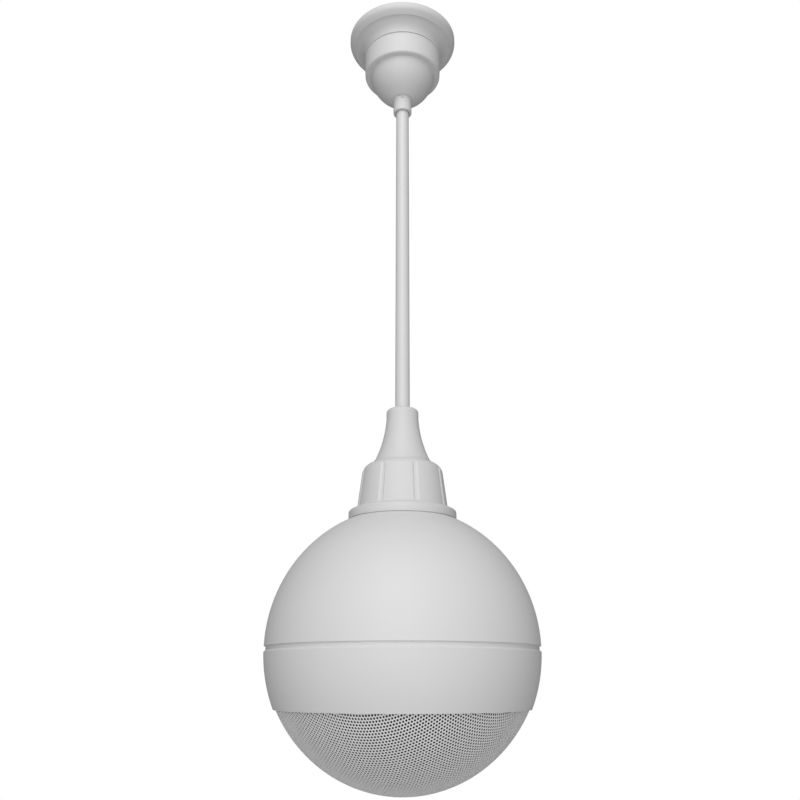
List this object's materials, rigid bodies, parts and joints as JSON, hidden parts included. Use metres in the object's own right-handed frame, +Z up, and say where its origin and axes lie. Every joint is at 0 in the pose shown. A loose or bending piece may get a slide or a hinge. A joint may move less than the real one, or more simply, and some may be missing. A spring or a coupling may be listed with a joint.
{
  "type": "pendant ball loudspeaker",
  "caption": "Ball loudspeaker hung from the ceiling on a rod, with a stepped canopy, a flared neck, a panelled collar and a perforated lower dome over a driver.",
  "frame": {"origin": "middle of the two ceiling screws, on the ceiling plane that the canopy and its plate meet", "axes": "+Z up along the rod, -Y towards the viewer, +X to the right and along the line of the two ceiling screws"},
  "size_m": [0.2, 0.2, 0.6653],
  "materials": {
    "white_plastic": "fine moulded, grey white",
    "white_paint": "satin powder coat, grey white",
    "zinc_steel": "zinc plated",
    "natural_plastic": "natural nylon",
    "grey_plastic": "dark moulded plastic",
    "black_rubber": "soft, matt",
    "black_paint": "black, half gloss",
    "ferrite": "ground ferrite",
    "black_paper": "pressed paper pulp",
    "brown_paper": "kraft paper",
    "copper_wire": "enamelled winding",
    "tan_cloth": "resin-stiffened weave",
    "dark_steel": "stacked laminations"
  },
  "bodies": {
    "housing": {"ceiling_plate": "zinc_steel", "canopy_base": "white_plastic", "canopy_cup": "white_plastic", "rod_collar": "white_plastic", "collar_set_screw": "zinc_steel", "rod": "white_paint", "lock_nuts": "zinc_steel", "terminal_block": "natural_plastic", "neck_cone": "white_plastic", "neck_collar": "white_plastic", "upper_shell": "white_plastic", "lower_band": "white_plastic", "grille": "white_paint", "baffle": "grey_plastic", "driver_gasket": "black_rubber", "driver_frame": "black_paint", "top_plate": "zinc_steel", "ring_magnet": "ferrite", "back_plate": "zinc_steel", "surround": "black_rubber", "spider": "tan_cloth", "driver_screws": "zinc_steel", "transformer_hanger": "zinc_steel", "transformer_core": "dark_steel", "transformer_bobbin": "copper_wire", "transformer_strap": "zinc_steel", "transformer_screws": "zinc_steel"},
    "cone": {"paper_cone": "black_paper", "dust_cap": "black_paper", "coil_former": "brown_paper", "voice_coil": "copper_wire"}
  },
  "joints": [
    {"name": "cone_travel", "type": "slide", "parent": "housing", "child": "cone", "axis": [0, 0, -1], "range_m": [-0.002, 0.002], "stiffness_N_per_m": 1500, "deforming": ["surround", "spider"]}
  ]
}
